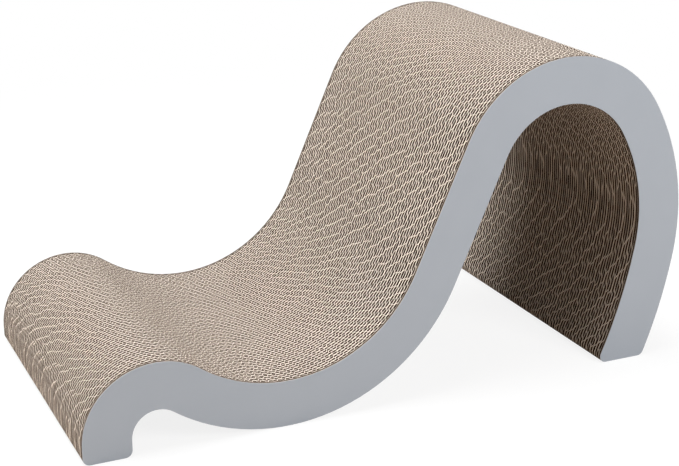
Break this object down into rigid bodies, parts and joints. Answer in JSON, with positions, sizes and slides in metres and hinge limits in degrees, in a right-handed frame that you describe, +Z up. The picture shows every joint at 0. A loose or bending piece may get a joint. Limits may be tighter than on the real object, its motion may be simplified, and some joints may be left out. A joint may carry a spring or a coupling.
{
  "type": "cat scratching lounger",
  "caption": "Free-standing S-shaped cat scratcher of stacked corrugated boards, with a low hump, a dip to lie in and a tall arch, closed by a grey board on each side.",
  "frame": {"origin": "on the floor, midway along the length and the width", "axes": "+X runs from the hump to the arch, +Y from the front side board to the back one, +Z up"},
  "size_m": [0.6248, 0.31, 0.3235],
  "materials": {
    "grey_print": "matte",
    "corrugated_kraft": "matte"
  },
  "bodies": {
    "root": {"front_side_board": "grey_print", "back_side_board": "grey_print", "core_boards_01": "corrugated_kraft", "core_boards_02": "corrugated_kraft", "core_boards_03": "corrugated_kraft", "core_boards_04": "corrugated_kraft", "core_boards_05": "corrugated_kraft", "core_boards_06": "corrugated_kraft", "core_boards_07": "corrugated_kraft", "core_boards_08": "corrugated_kraft", "core_boards_09": "corrugated_kraft", "core_boards_10": "corrugated_kraft", "core_boards_11": "corrugated_kraft", "core_boards_12": "corrugated_kraft", "core_boards_13": "corrugated_kraft", "core_boards_14": "corrugated_kraft", "core_boards_15": "corrugated_kraft", "core_boards_16": "corrugated_kraft", "core_boards_17": "corrugated_kraft", "core_boards_18": "corrugated_kraft", "core_boards_19": "corrugated_kraft"}
  },
  "joints": []
}
